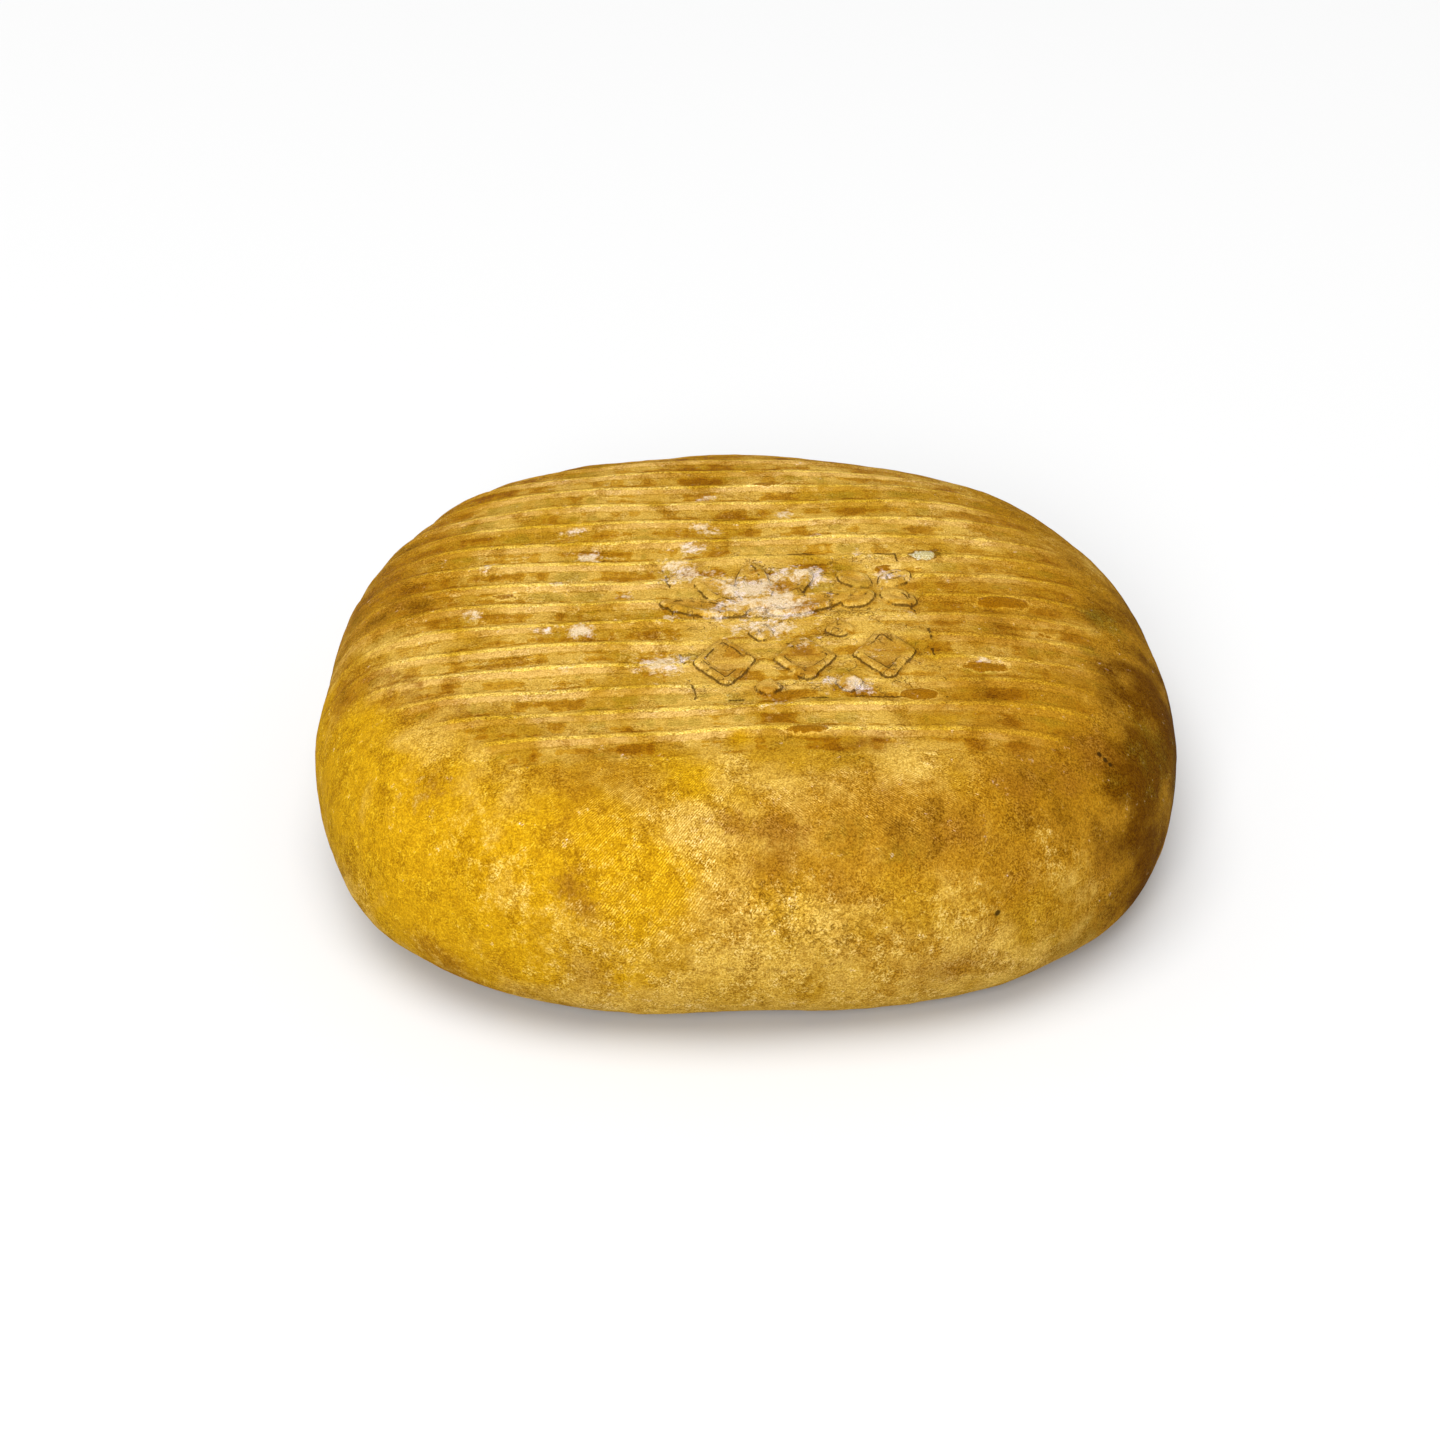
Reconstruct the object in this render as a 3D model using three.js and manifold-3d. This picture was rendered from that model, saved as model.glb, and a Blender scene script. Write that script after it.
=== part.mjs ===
// A whole wheel of pressed, washed-rind cheese, one solid piece.
// Its plan is a rounded square. The crown carries the ribs of the slatted mat it was pressed on
// and a block-printed spray, flower and lozenges. The underside has settled flat, and keeps the
// mat's lines as shallow grooves.
//
// Units are millimetres and +Z is up. The origin is the middle of the base, at the bottom.
//
// Every point of the body is found from its place in a flat "plan" disc of radius HALF_WIDTH:
// how far out it lies sets its height on the crown or its depth under the widest line, and its
// bearing sets how tight the shoulder is there.

import * as THREE from 'three';
import { mergeVertices } from 'three/addons/utils/BufferGeometryUtils.js';
import Module from 'manifold-3d';

// ---------------------------------------------------------------- driving dimensions

const HALF_WIDTH = 150;          // centre to the widest line
const CROWN_HEIGHT = 43.7;       // widest line up to the crown
const BASE_DEPTH = 48.3;         // widest line down to where the base curve would close
const FOOT_DEPTH = 43;           // the base curve is settled flat at this depth
const FOOT_BLEND = 3;            // height over which the base curve turns into the flat

const PLAN_SQUARENESS = 2.47;    // 2 is a circle, more is squarer
const BASE_SQUARENESS = 2.75;    // the same, of the lower edge

// Profile exponents. "Flatness" keeps the crown level further out, "fullness" fills the shoulder.
// The right and front terms say how much each changes from the middle to that side.
const CROWN = { flatness: 6.5, right: -0.3, front: 0.15, fullness: 1.7, fullRight: 0.11, fullFront: 0.1 };
const BASE = { flatness: 6.5, right: 0.25, front: -0.07, fullness: 2.75, fullRight: -0.14, fullFront: -0.1 };
const LEAST_FULLNESS = 1.6;

const CROWN_TILT = 0.065;        // the crown is this share higher at the right edge
const PLAN_TAPER = 0.037;        // the plan narrows by this share towards the back
const PLAN_SKEW = 0.017;         // and by this share in depth towards the right

// Ribs pressed into the rind, running left to right
const RIB_COUNT = 17;
const RIB_PITCH = 14.16;
const BACK_RIB_Y = 124.4;        // crest of the rib furthest back
const RIB_HEIGHT = 1.5;
const RIB_CREST_HALF = 0.8;      // half the width of the crest
const RIB_BACK_SLOPE = 3.6;      // crest line to the foot behind it
const RIB_FRONT_SLOPE = 4.6;     // crest line to the foot in front of it
const UNDER_GROOVE_DEPTH = 0.7;  // the mat's lines in the flat underside

// Slow unevenness of a hand-turned wheel
const LUMP_HEIGHT = 0.55;
const LUMP_LENGTH = 66;

// Printed block: where its middle lies, its size and how far its figures stand up
const BLOCK = { x: 18, y: -20, width: 88, depth: 98, turn: 0.03 };
const BLOCK_BLEND = 9;           // ribs fade out over this width around the block
const BLOCK_RIB_SHARE = 0.3;     // what is left of the ribs inside it
const FIGURE_HEIGHT = 1.7;
const FIGURE_BEVEL = 0.9;
const FIGURE_ROOT = 3;           // how deep a figure is set into the crown

// Mesh steps
const TOP_STEPS = 38;            // along one row, over the crown
const BASE_STEPS = 26;           // along one row, under the base
const END_ROWS = 8;              // rows between the last rib and the front or back point
const END_CROWDING = 2.2;        // how much those rows crowd towards that point

// ---------------------------------------------------------------- small maths

const mix = (a, b, t) => a + (b - a) * t;
const clamp = (value, low, high) => Math.min(Math.max(value, low), high);

function smooth(low, high, value) {
  const t = clamp((value - low) / (high - low), 0, 1);
  return t * t * (3 - 2 * t);
}

// Lower of two depths, with the corner between them rounded
function softMinimum(depth, limit, blend) {
  const share = clamp(0.5 + 0.5 * (limit - depth) / blend, 0, 1);
  return mix(limit, depth, share) - blend * share * (1 - share);
}

// ---------------------------------------------------------------- the body's form

// How far out the edge of a rounded square of half-width 1 lies at a bearing
function edgeReach(squareness, cos, sin) {
  const sum = Math.abs(cos) ** squareness + Math.abs(sin) ** squareness;
  return sum ** (-1 / squareness);
}

function profileExponents(profile, cos, sin) {
  const flatness = profile.flatness * (1 + profile.right * cos) * (1 - profile.front * sin);
  const fullness = profile.fullness * (1 + profile.fullRight * cos) * (1 - profile.fullFront * sin);
  return { flatness, fullness: Math.max(fullness, LEAST_FULLNESS) };
}

// Point on the body above or below a place in the plan disc
function bodyPoint(planX, planY, isCrown) {
  const out = Math.hypot(planX, planY);
  const cos = out > 0 ? planX / out : 1;
  const sin = out > 0 ? planY / out : 0;
  const share = Math.min(out / (HALF_WIDTH * edgeReach(PLAN_SQUARENESS, cos, sin)), 1);
  const { flatness, fullness } = profileExponents(isCrown ? CROWN : BASE, cos, sin);
  const rise = (1 - share ** flatness) ** (1 / fullness);

  let reach = out;
  let z = CROWN_HEIGHT * rise;
  if (!isCrown) {
    const squareness = mix(PLAN_SQUARENESS, BASE_SQUARENESS, rise);
    reach = share * HALF_WIDTH * edgeReach(squareness, cos, sin);
    z = -softMinimum(BASE_DEPTH * rise, FOOT_DEPTH, FOOT_BLEND);
  }
  const y = reach * sin * (1 - PLAN_SKEW * reach * cos / HALF_WIDTH);
  const x = reach * cos * (1 - PLAN_TAPER * y / HALF_WIDTH);
  if (isCrown) z *= 1 + CROWN_TILT * x / HALF_WIDTH;
  return new THREE.Vector3(x, y, z);
}

// ---------------------------------------------------------------- relief on the body

const ribCrests = [];
for (let k = 0; k < RIB_COUNT; k += 1) ribCrests.push(BACK_RIB_Y - k * RIB_PITCH);

// 1 on a crest, 0 in the trough between two ribs, straight slopes between
function ribShape(planY) {
  let height = 0;
  for (const crest of ribCrests) {
    const offset = planY - crest;
    const slope = offset > 0 ? RIB_BACK_SLOPE : RIB_FRONT_SLOPE;
    const fall = (Math.abs(offset) - RIB_CREST_HALF) / (slope - RIB_CREST_HALF);
    height = Math.max(height, 1 - clamp(fall, 0, 1));
  }
  return height;
}

// Ribs run down the left flank, die out on the right and front shoulders and behind the block
function crownRibShare(planX, planY, z) {
  const right = smooth(-70, 80, planX);
  const low = mix(0.12, 0.7, right);
  const high = mix(0.5, 0.96, right);
  const shoulder = smooth(low, high, z / CROWN_HEIGHT);
  const front = smooth(-0.74, -0.56, planY / HALF_WIDTH);
  const back = 1 - smooth(0.82, 0.95, planY / HALF_WIDTH);
  const offX = Math.abs(planX - BLOCK.x) - BLOCK.width / 2;
  const offY = Math.abs(planY - BLOCK.y) - BLOCK.depth / 2;
  const block = 1 - smooth(-BLOCK_BLEND, BLOCK_BLEND, Math.max(offX, offY));
  return shoulder * front * back * mix(1, BLOCK_RIB_SHARE, block);
}

function lumps(x, y, z) {
  const k = 2 * Math.PI / LUMP_LENGTH;
  const broad = Math.sin(0.6 * k * x + 1.3) * Math.sin(0.7 * k * y + 0.4);
  const fine = Math.sin(k * (x + 0.4 * z)) * Math.sin(1.2 * k * (y - 0.6 * z) + 2.1);
  return LUMP_HEIGHT * (broad + 0.6 * fine);
}

// How much a point stands out from the body, along the surface's own normal
function relief(point, planX, planY, isCrown) {
  const { x, y, z } = point;
  if (isCrown) return RIB_HEIGHT * ribShape(planY) * crownRibShare(planX, planY, z) + lumps(x, y, z);
  const settled = smooth(0.86 * FOOT_DEPTH, 0.995 * FOOT_DEPTH, -z);
  return (1 - settled) * lumps(x, y, z) - settled * UNDER_GROOVE_DEPTH * ribShape(planY);
}

// ---------------------------------------------------------------- the body's mesh

// Rows follow the ribs, four to a rib, then crowd towards the front and back points
function rowPositions() {
  const rows = [];
  for (const crest of ribCrests) {
    rows.push(crest + RIB_BACK_SLOPE, crest + RIB_CREST_HALF, crest - RIB_CREST_HALF, crest - RIB_FRONT_SLOPE);
  }
  const backStart = rows[0];
  const frontStart = rows[rows.length - 1];
  for (let i = 1; i < END_ROWS; i += 1) {
    const left = (1 - i / END_ROWS) ** END_CROWDING;
    rows.push(mix(HALF_WIDTH, backStart, left), mix(-HALF_WIDTH, frontStart, left));
  }
  return rows.sort((a, b) => b - a);
}

// One closed row: over the crown from left to right, then back under the base
function rowPlaces(planY) {
  const share = Math.abs(planY) / HALF_WIDTH;
  const halfRow = HALF_WIDTH * (1 - share ** PLAN_SQUARENESS) ** (1 / PLAN_SQUARENESS);
  const places = [];
  for (let i = 0; i < TOP_STEPS; i += 1) {
    const planX = halfRow * Math.sin(Math.PI * (i / TOP_STEPS - 0.5));
    places.push({ planX, planY, isCrown: true });
  }
  for (let i = 0; i < BASE_STEPS; i += 1) {
    const planX = halfRow * Math.sin(Math.PI * (0.5 - i / BASE_STEPS));
    places.push({ planX, planY, isCrown: false });
  }
  return places;
}

function makeBody() {
  const rows = rowPositions();
  const perRow = TOP_STEPS + BASE_STEPS;
  const places = [{ planX: 0, planY: HALF_WIDTH, isCrown: true }];
  for (const planY of rows) places.push(...rowPlaces(planY));
  places.push({ planX: 0, planY: -HALF_WIDTH, isCrown: true });

  const faces = [];
  const at = (row, step) => 1 + row * perRow + (step % perRow);
  const last = places.length - 1;
  for (let step = 0; step < perRow; step += 1) {
    faces.push(0, at(0, step), at(0, step + 1));
    faces.push(last, at(rows.length - 1, step + 1), at(rows.length - 1, step));
    for (let row = 0; row + 1 < rows.length; row += 1) {
      faces.push(at(row, step), at(row + 1, step), at(row + 1, step + 1));
      faces.push(at(row, step), at(row + 1, step + 1), at(row, step + 1));
    }
  }

  const points = places.map((place) => bodyPoint(place.planX, place.planY, place.isCrown));
  const geometry = new THREE.BufferGeometry();
  geometry.setAttribute('position', new THREE.Float32BufferAttribute(points.flatMap((p) => p.toArray()), 3));
  geometry.setIndex(faces);
  geometry.computeVertexNormals();

  const normal = new THREE.Vector3();
  points.forEach((point, i) => {
    const { planX, planY, isCrown } = places[i];
    normal.fromBufferAttribute(geometry.attributes.normal, i);
    point.addScaledVector(normal, relief(point, planX, planY, isCrown));
    geometry.attributes.position.setXYZ(i, ...point);
  });
  return geometry;
}

// ---------------------------------------------------------------- the printed block

// Pointed oval, its base at the origin, leaning by an angle from straight up
function leafOutline(length, width, lean) {
  const steps = 6;
  const points = [];
  for (let side = 0; side < 2; side += 1) {
    for (let i = 0; i < steps; i += 1) {
      const t = side ? 1 - i / steps : i / steps;
      const across = (side ? -0.5 : 0.5) * width * Math.sin(Math.PI * t) ** 0.8;
      points.push(new THREE.Vector2(across, t * length));
    }
  }
  return points.map((p) => p.rotateAround(new THREE.Vector2(), -lean));
}

function lozengeOutline(width, depth) {
  return [[width, 0], [0, depth], [-width, 0], [0, -depth]].map(([x, y]) => new THREE.Vector2(x / 2, y / 2));
}

// Leaves set around a point, from one angle to another, their bases a little way out from it
function leafSpray(count, first, last, length, width, gap) {
  const leaves = [];
  for (let i = 0; i < count; i += 1) {
    const lean = mix(first, last, i / (count - 1));
    const foot = new THREE.Vector2(gap * Math.sin(lean), gap * Math.cos(lean));
    leaves.push(leafOutline(length, width, lean).map((p) => p.add(foot)));
  }
  return leaves;
}

// The figures, each an outline and its place on the block: a spray of five leaves, a flower of
// four petals, and under them a row of three lozenges with small ones between
function blockFigures() {
  const figures = [];
  const quarter = Math.PI / 4;
  for (const outline of leafSpray(5, -1.3, 1.3, 30, 11, 4)) figures.push({ outline, x: -14, y: 8 });
  for (const outline of leafSpray(4, -3 * quarter, 3 * quarter, 15, 10, 2.5)) {
    figures.push({ outline, x: 29, y: 22 });
  }
  for (const side of [-1, 0, 1]) {
    figures.push({ outline: lozengeOutline(22, 32), x: side * 27, y: -23 });
  }
  for (const side of [-1, 1]) {
    figures.push({ outline: lozengeOutline(9, 11), x: side * 13.5, y: -5 });
    figures.push({ outline: lozengeOutline(9, 11), x: side * 13.5, y: -41 });
  }
  return figures;
}

// One figure as a low bevelled block that follows the crown beneath it
function makeFigure({ outline, x, y }) {
  const shape = new THREE.Shape(outline.map((p) => p.clone()));
  const geometry = new THREE.ExtrudeGeometry(shape, {
    depth: FIGURE_ROOT + FIGURE_HEIGHT - 2 * FIGURE_BEVEL,
    bevelEnabled: true,
    bevelThickness: FIGURE_BEVEL,
    bevelSize: FIGURE_BEVEL,
    bevelOffset: -FIGURE_BEVEL,
    bevelSegments: 1,
  });
  geometry.translate(x, y, FIGURE_BEVEL - FIGURE_ROOT);
  geometry.rotateZ(BLOCK.turn);
  geometry.translate(BLOCK.x, BLOCK.y, 0);
  const position = geometry.attributes.position;
  for (let i = 0; i < position.count; i += 1) {
    const crown = bodyPoint(position.getX(i), position.getY(i), true).z;
    position.setZ(i, position.getZ(i) + crown);
  }
  return geometry;
}

// ---------------------------------------------------------------- joining

const wasm = await Module();
wasm.setup();

function toSolid(geometry) {
  const bare = geometry.clone();
  bare.deleteAttribute('normal');
  bare.deleteAttribute('uv');
  const merged = mergeVertices(bare, 1e-4);
  const vertProperties = new Float32Array(merged.attributes.position.array);
  const triVerts = new Uint32Array(merged.index.array);
  return new wasm.Manifold(new wasm.Mesh({ numProp: 3, vertProperties, triVerts }));
}

function toGeometry(solid) {
  const mesh = solid.getMesh();
  const geometry = new THREE.BufferGeometry();
  geometry.setAttribute('position', new THREE.BufferAttribute(new Float32Array(mesh.vertProperties), 3));
  geometry.setIndex(new THREE.BufferAttribute(new Uint32Array(mesh.triVerts), 1));
  return geometry;
}

// The origin goes to the middle of the base
function standOnOrigin(geometry) {
  geometry.computeBoundingBox();
  const { min, max } = geometry.boundingBox;
  geometry.translate(-(min.x + max.x) / 2, -(min.y + max.y) / 2, -min.z);
  geometry.computeVertexNormals();
  return geometry;
}

let wheelSolid = toSolid(makeBody());
for (const figure of blockFigures()) wheelSolid = wheelSolid.add(toSolid(makeFigure(figure)));

const rind = new THREE.MeshStandardMaterial({ color: 0xb98a2e, roughness: 0.7, metalness: 0 });
const wheel = new THREE.Mesh(standOnOrigin(toGeometry(wheelSolid)), rind);
wheel.name = 'cheese_wheel';

const cheese = new THREE.Group();
cheese.add(wheel);

export default cheese;
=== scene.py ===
"""Looks of a whole wheel of pressed, washed-rind cheese.

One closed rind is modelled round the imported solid: a fine grid for the crown, rings of extruded
edges for the shoulder and the flank, and a coarser grid for the underside. Its points are then
moved to the wheel's form, and ribs, printed figures, scabs, wrinkles and dents are raised along
the normals, as by sculpting.

Lengths are millimetres, and become metres where a mesh, a light or the camera gets them.
"""

import math

import bpy
import numpy as np
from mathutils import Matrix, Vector


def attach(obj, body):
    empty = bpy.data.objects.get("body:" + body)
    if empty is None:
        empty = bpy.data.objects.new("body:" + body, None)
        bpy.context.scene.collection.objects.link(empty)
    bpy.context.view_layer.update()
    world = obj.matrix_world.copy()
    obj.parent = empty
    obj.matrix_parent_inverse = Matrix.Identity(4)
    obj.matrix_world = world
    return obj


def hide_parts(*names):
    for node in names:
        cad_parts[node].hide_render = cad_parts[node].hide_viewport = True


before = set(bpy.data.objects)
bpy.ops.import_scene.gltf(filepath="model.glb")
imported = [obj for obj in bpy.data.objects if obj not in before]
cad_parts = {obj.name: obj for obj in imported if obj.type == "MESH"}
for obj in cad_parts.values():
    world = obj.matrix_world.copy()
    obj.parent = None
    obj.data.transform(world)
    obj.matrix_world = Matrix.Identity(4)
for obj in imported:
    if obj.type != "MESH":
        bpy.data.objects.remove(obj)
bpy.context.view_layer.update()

MM = 0.001

# ---------------------------------------------------------------- the wheel's form

HALF_WIDTH = 150.0          # centre to the widest line
CROWN_HEIGHT = 43.7         # widest line up to the crown
BASE_DEPTH = 48.3           # widest line down to where the base curve would close
FOOT_DEPTH = 43.0           # the base curve is settled flat at this depth
FOOT_BLEND = 3.0
PLAN_SQUARENESS = 2.47      # 2 is a circle, more is squarer
BASE_SQUARENESS = 2.75
# Exponents of the upper and the lower profile, and how they change towards the right and the front
CROWN = {"flatness": 6.5, "right": -0.3, "front": 0.15,
         "fullness": 1.7, "full_right": 0.11, "full_front": 0.1}
BASE = {"flatness": 6.5, "right": 0.25, "front": -0.07,
        "fullness": 2.75, "full_right": -0.14, "full_front": -0.1}
LEAST_FULLNESS = 1.6
CROWN_TILT = 0.065
PLAN_TAPER = 0.037
PLAN_SKEW = 0.017

# Ribs from the slatted pressing mat
RIB_COUNT = 17
RIB_PITCH = 14.16
BACK_RIB_Y = 124.4
RIB_HEIGHT = 1.5
RIB_CREST_HALF = 0.8
RIB_BACK_SLOPE = 3.6
RIB_FRONT_SLOPE = 4.6
RIB_WANDER = 0.5            # how far a crest strays from its straight line
RIBS_END_Y = -100.0         # the ribs end in front of this line, and further back left of the next
RIBS_TURN_X = -76.0
RIB_WEAR_LEFT = 0.4         # share of the ribs' height that is left, on the left and on the right
RIB_WEAR_RIGHT = 0.25
RIB_WEAR_EDGE = 0.45        # what is left of that at the left edge
UNDER_GROOVE_DEPTH = 0.7

# Slow unevenness of a hand-turned wheel
LUMP_HEIGHT = 0.55
LUMP_LENGTH = 66.0

# Heights of what lies on the skin
MOULD_HEIGHT = 0.15
SCAB_HEIGHT = 0.45
WRINKLE_HEIGHT = 0.3
FLAKE_HEIGHT = 0.9
SCALLOP_DEPTH = 0.5         # soft hollows along the lower edge

# Printed block with its figures
BLOCK = {"x": 18.0, "y": -20.0, "width": 84.0, "depth": 97.0, "turn": 0.03, "lean": 0.1}
BLOCK_BLEND = 9.0
BLOCK_RIB_SHARE = 0.3
BLOCK_EDGE_DEPTH = 0.5
FIGURE_HEIGHT = 1.9
FIGURE_GROOVE = 0.4         # depth of the groove round each figure
FIGURE_REACH = 6.0          # distances to a figure's edge are kept within this
FIGURE_ROUNDING = 2.4       # the figures' outlines are given this much inside their edges

# Mesh steps of the rind
CROWN_COLUMNS = 188
CROWN_ROWS = 240
CROWN_EDGE = 0.93           # the crown grid reaches this share of the way to the widest line
FLANK_RINGS = 44
UNDER_COLUMNS = 88
UNDER_ROWS = 112
UNDER_EDGE = 0.79           # the same, of the underside grid
BLOCK_CROWDING = 1.75       # how much closer the crown's points lie over the printed block


def smooth(low, high, value):
    """0 below low, 1 above high, and a soft step between."""
    t = np.clip((value - low) / (high - low), 0, 1)
    return t * t * (3 - 2 * t)


def mix(a, b, t):
    return a + (b - a) * t


def edge_reach(squareness, cos, sin):
    """How far out the edge of a rounded square of half-width 1 lies at a bearing."""
    return (np.abs(cos) ** squareness + np.abs(sin) ** squareness) ** (-1 / squareness)


def exponents(profile, cos, sin):
    flatness = profile["flatness"] * (1 + profile["right"] * cos) * (1 - profile["front"] * sin)
    fullness = profile["fullness"] * (1 + profile["full_right"] * cos) * (1 - profile["full_front"] * sin)
    return flatness, np.maximum(fullness, LEAST_FULLNESS)


def body_points(plan_x, plan_y, is_crown):
    """Points of the smooth body over or under places in the plan, and their share of the way out."""
    out = np.maximum(np.hypot(plan_x, plan_y), 1e-6)
    cos, sin = plan_x / out, plan_y / out
    share = np.minimum(out / (HALF_WIDTH * edge_reach(PLAN_SQUARENESS, cos, sin)), 1)
    profiles = zip(exponents(CROWN, cos, sin), exponents(BASE, cos, sin))
    flatness, fullness = (np.where(is_crown, upper, lower) for upper, lower in profiles)
    rise = (1 - share ** flatness) ** (1 / fullness)
    depth = BASE_DEPTH * rise
    blend = np.clip(0.5 + 0.5 * (FOOT_DEPTH - depth) / FOOT_BLEND, 0, 1)
    settled = mix(FOOT_DEPTH, depth, blend) - FOOT_BLEND * blend * (1 - blend)
    squareness = mix(PLAN_SQUARENESS, BASE_SQUARENESS, rise)
    reach = np.where(is_crown, out, share * HALF_WIDTH * edge_reach(squareness, cos, sin))
    y = reach * sin * (1 - PLAN_SKEW * reach * cos / HALF_WIDTH)
    x = reach * cos * (1 - PLAN_TAPER * y / HALF_WIDTH)
    z = np.where(is_crown, CROWN_HEIGHT * rise * (1 + CROWN_TILT * x / HALF_WIDTH), -settled)
    return np.stack([x, y, z], 1), share


def value_noise(points, size, seed):
    """Smooth noise from -1 to 1 with lumps of about the given size, the same on every run."""
    cell = points / size + np.array([17.31, 7.77, 29.93]) * seed
    corner = np.floor(cell).astype(np.int64)
    part = cell - corner
    part = part * part * (3 - 2 * part)
    total = np.zeros(len(points))
    for step in np.ndindex(2, 2, 2):
        place = corner + np.array(step)
        mixed = (place * np.array([73856093, 19349663, 83492791])).sum(1) ^ (seed * 2654435761)
        mixed = (mixed ^ (mixed >> 13)) * 1274126177 & 0x7FFFFFFF
        value = (mixed >> 8) % 65536 / 32767.5 - 1
        total += value * np.prod(np.where(np.array(step) == 1, part, 1 - part), 1)
    return total


# ---------------------------------------------------------------- relief

def rib_offset(plan_y):
    """Distance behind the nearest crest, counted positive towards the back."""
    count = np.clip(np.round((BACK_RIB_Y - plan_y) / RIB_PITCH), 0, RIB_COUNT - 1)
    return plan_y - (BACK_RIB_Y - count * RIB_PITCH)


def rib_shape(plan_y):
    """1 on a crest, 0 in the trough, with a rounded top and feet."""
    offset = rib_offset(plan_y)
    slope = np.where(offset > 0, RIB_BACK_SLOPE, RIB_FRONT_SLOPE)
    fall = (np.abs(offset) - RIB_CREST_HALF) / (slope - RIB_CREST_HALF)
    return 1 - smooth(0, 1, fall) * 0.5 - np.clip(fall, 0, 1) * 0.5


def block_inside(plan_x, plan_y):
    """How far inside the printed block places lie; negative outside."""
    lean_x = plan_x - BLOCK["x"] + BLOCK["lean"] * (plan_y - BLOCK["y"])
    off_x = np.abs(lean_x) - BLOCK["width"] / 2
    off_y = np.abs(plan_y - BLOCK["y"]) - BLOCK["depth"] / 2
    return -np.maximum(off_x, off_y)


def crown_rib_share(plan_x, plan_y, z):
    """Ribs run down the left flank, and die out on the right and front shoulders."""
    right = smooth(-70, 80, plan_x)
    shoulder = smooth(mix(0.12, 0.7, right), mix(0.5, 0.96, right), z / CROWN_HEIGHT)
    front_end = RIBS_END_Y + np.maximum(0, RIBS_TURN_X - plan_x)
    front = smooth(-7, 9, plan_y - front_end)
    back = 1 - smooth(0.82, 0.95, plan_y / HALF_WIDTH)
    return shoulder * front * back


def lumps(x, y, z):
    k = 2 * math.pi / LUMP_LENGTH
    broad = np.sin(0.6 * k * x + 1.3) * np.sin(0.7 * k * y + 0.4)
    fine = np.sin(k * (x + 0.4 * z)) * np.sin(1.2 * k * (y - 0.6 * z) + 2.1)
    return LUMP_HEIGHT * (broad + 0.6 * fine)


def leaf(length, width, lean, gap):
    """Outline of a pointed leaf, its base a little way out from the origin, leaning from straight up."""
    steps = 14
    along = np.linspace(0, 1, steps, endpoint=False)
    along = np.concatenate([along, 1 - along])
    across = np.repeat([0.5, -0.5], steps) * width * np.sin(math.pi * along) ** 0.8
    up = along * length + gap
    cos, sin = math.cos(lean), math.sin(lean)
    return np.stack([across * cos + up * sin, up * cos - across * sin], 1)


def lozenge(width, depth):
    return np.array([(width, 0), (0, depth), (-width, 0), (0, -depth)]) / 2


def block_figures():
    """The outlines on the block: a spray, a flower, and a row of lozenges with small ones between."""
    quarter = math.pi / 4
    figures = [leaf(25, 7, lean, 6.5) + (-14, 8) for lean in np.linspace(-1.3, 1.3, 5)]
    figures += [leaf(10, 5.5, lean, 5) + (29, 22) for lean in np.linspace(-3 * quarter, 3 * quarter, 4)]
    figures += [lozenge(16, 24) + (side * 27, -23) for side in (-1, 0, 1)]
    figures += [lozenge(4, 5) + (side * 13.5, y) for side in (-1, 1) for y in (-5, -41)]
    return figures


def distance_inside(outline, x, y):
    """How far inside a closed outline places lie; negative outside."""
    nearest = np.full(x.shape, 1e9)
    inside = np.zeros(x.shape, bool)
    for (ax, ay), (bx, by) in zip(outline, np.roll(outline, -1, 0)):
        t = np.clip(((x - ax) * (bx - ax) + (y - ay) * (by - ay)) / ((bx - ax) ** 2 + (by - ay) ** 2), 0, 1)
        nearest = np.minimum(nearest, np.hypot(x - mix(ax, bx, t), y - mix(ay, by, t)))
        if ay != by:
            inside ^= ((ay > y) != (by > y)) & (x < ax + (y - ay) / (by - ay) * (bx - ax))
    return np.where(inside, nearest, -nearest)


def figure_distance(plan_x, plan_y):
    """Distance inside the nearest printed figure, kept within a few millimetres of its edge."""
    cos, sin = math.cos(BLOCK["turn"]), math.sin(BLOCK["turn"])
    x = (plan_x - BLOCK["x"]) * cos + (plan_y - BLOCK["y"]) * sin
    y = (plan_y - BLOCK["y"]) * cos - (plan_x - BLOCK["x"]) * sin
    distance = np.full(x.shape, -FIGURE_REACH - FIGURE_ROUNDING)
    off_block = np.maximum(np.abs(x) - BLOCK["width"] / 2, np.abs(y) - BLOCK["depth"] / 2)
    near = off_block < 3 * FIGURE_REACH
    for outline in block_figures():
        distance[near] = np.maximum(distance[near], distance_inside(outline, x[near], y[near]))
    return np.clip(distance + FIGURE_ROUNDING, -FIGURE_REACH, FIGURE_REACH)


def patch(points, spots, ragged=0.35, seed=1, stretch=1.0):
    """Soft patches round a list of spots, stretched along the ribs."""
    total = np.zeros(len(points))
    for x, y, z, radius, strength in spots:
        gap = np.linalg.norm((points - (x, y, z)) / (stretch, 1, 1), axis=1) / radius
        total = np.maximum(total, strength * np.exp(-gap ** 2))
    return np.clip(total * (1 + ragged * value_noise(points, 9.0, seed)), 0, 1.2)


# ---------------------------------------------------------------- modelling the rind

def select_only(piece):
    bpy.ops.object.select_all(action="DESELECT")
    piece.select_set(True)
    bpy.context.view_layer.objects.active = piece


def add_square_grid(columns, rows, height):
    """A flat grid two units wide, its points named by their place in the square."""
    bpy.ops.object.select_all(action="DESELECT")
    bpy.ops.mesh.primitive_grid_add(x_subdivisions=columns, y_subdivisions=rows, size=2,
                                    location=(0, 0, height))
    bpy.ops.object.transform_apply(location=True, rotation=False, scale=False)
    return bpy.context.object


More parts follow.
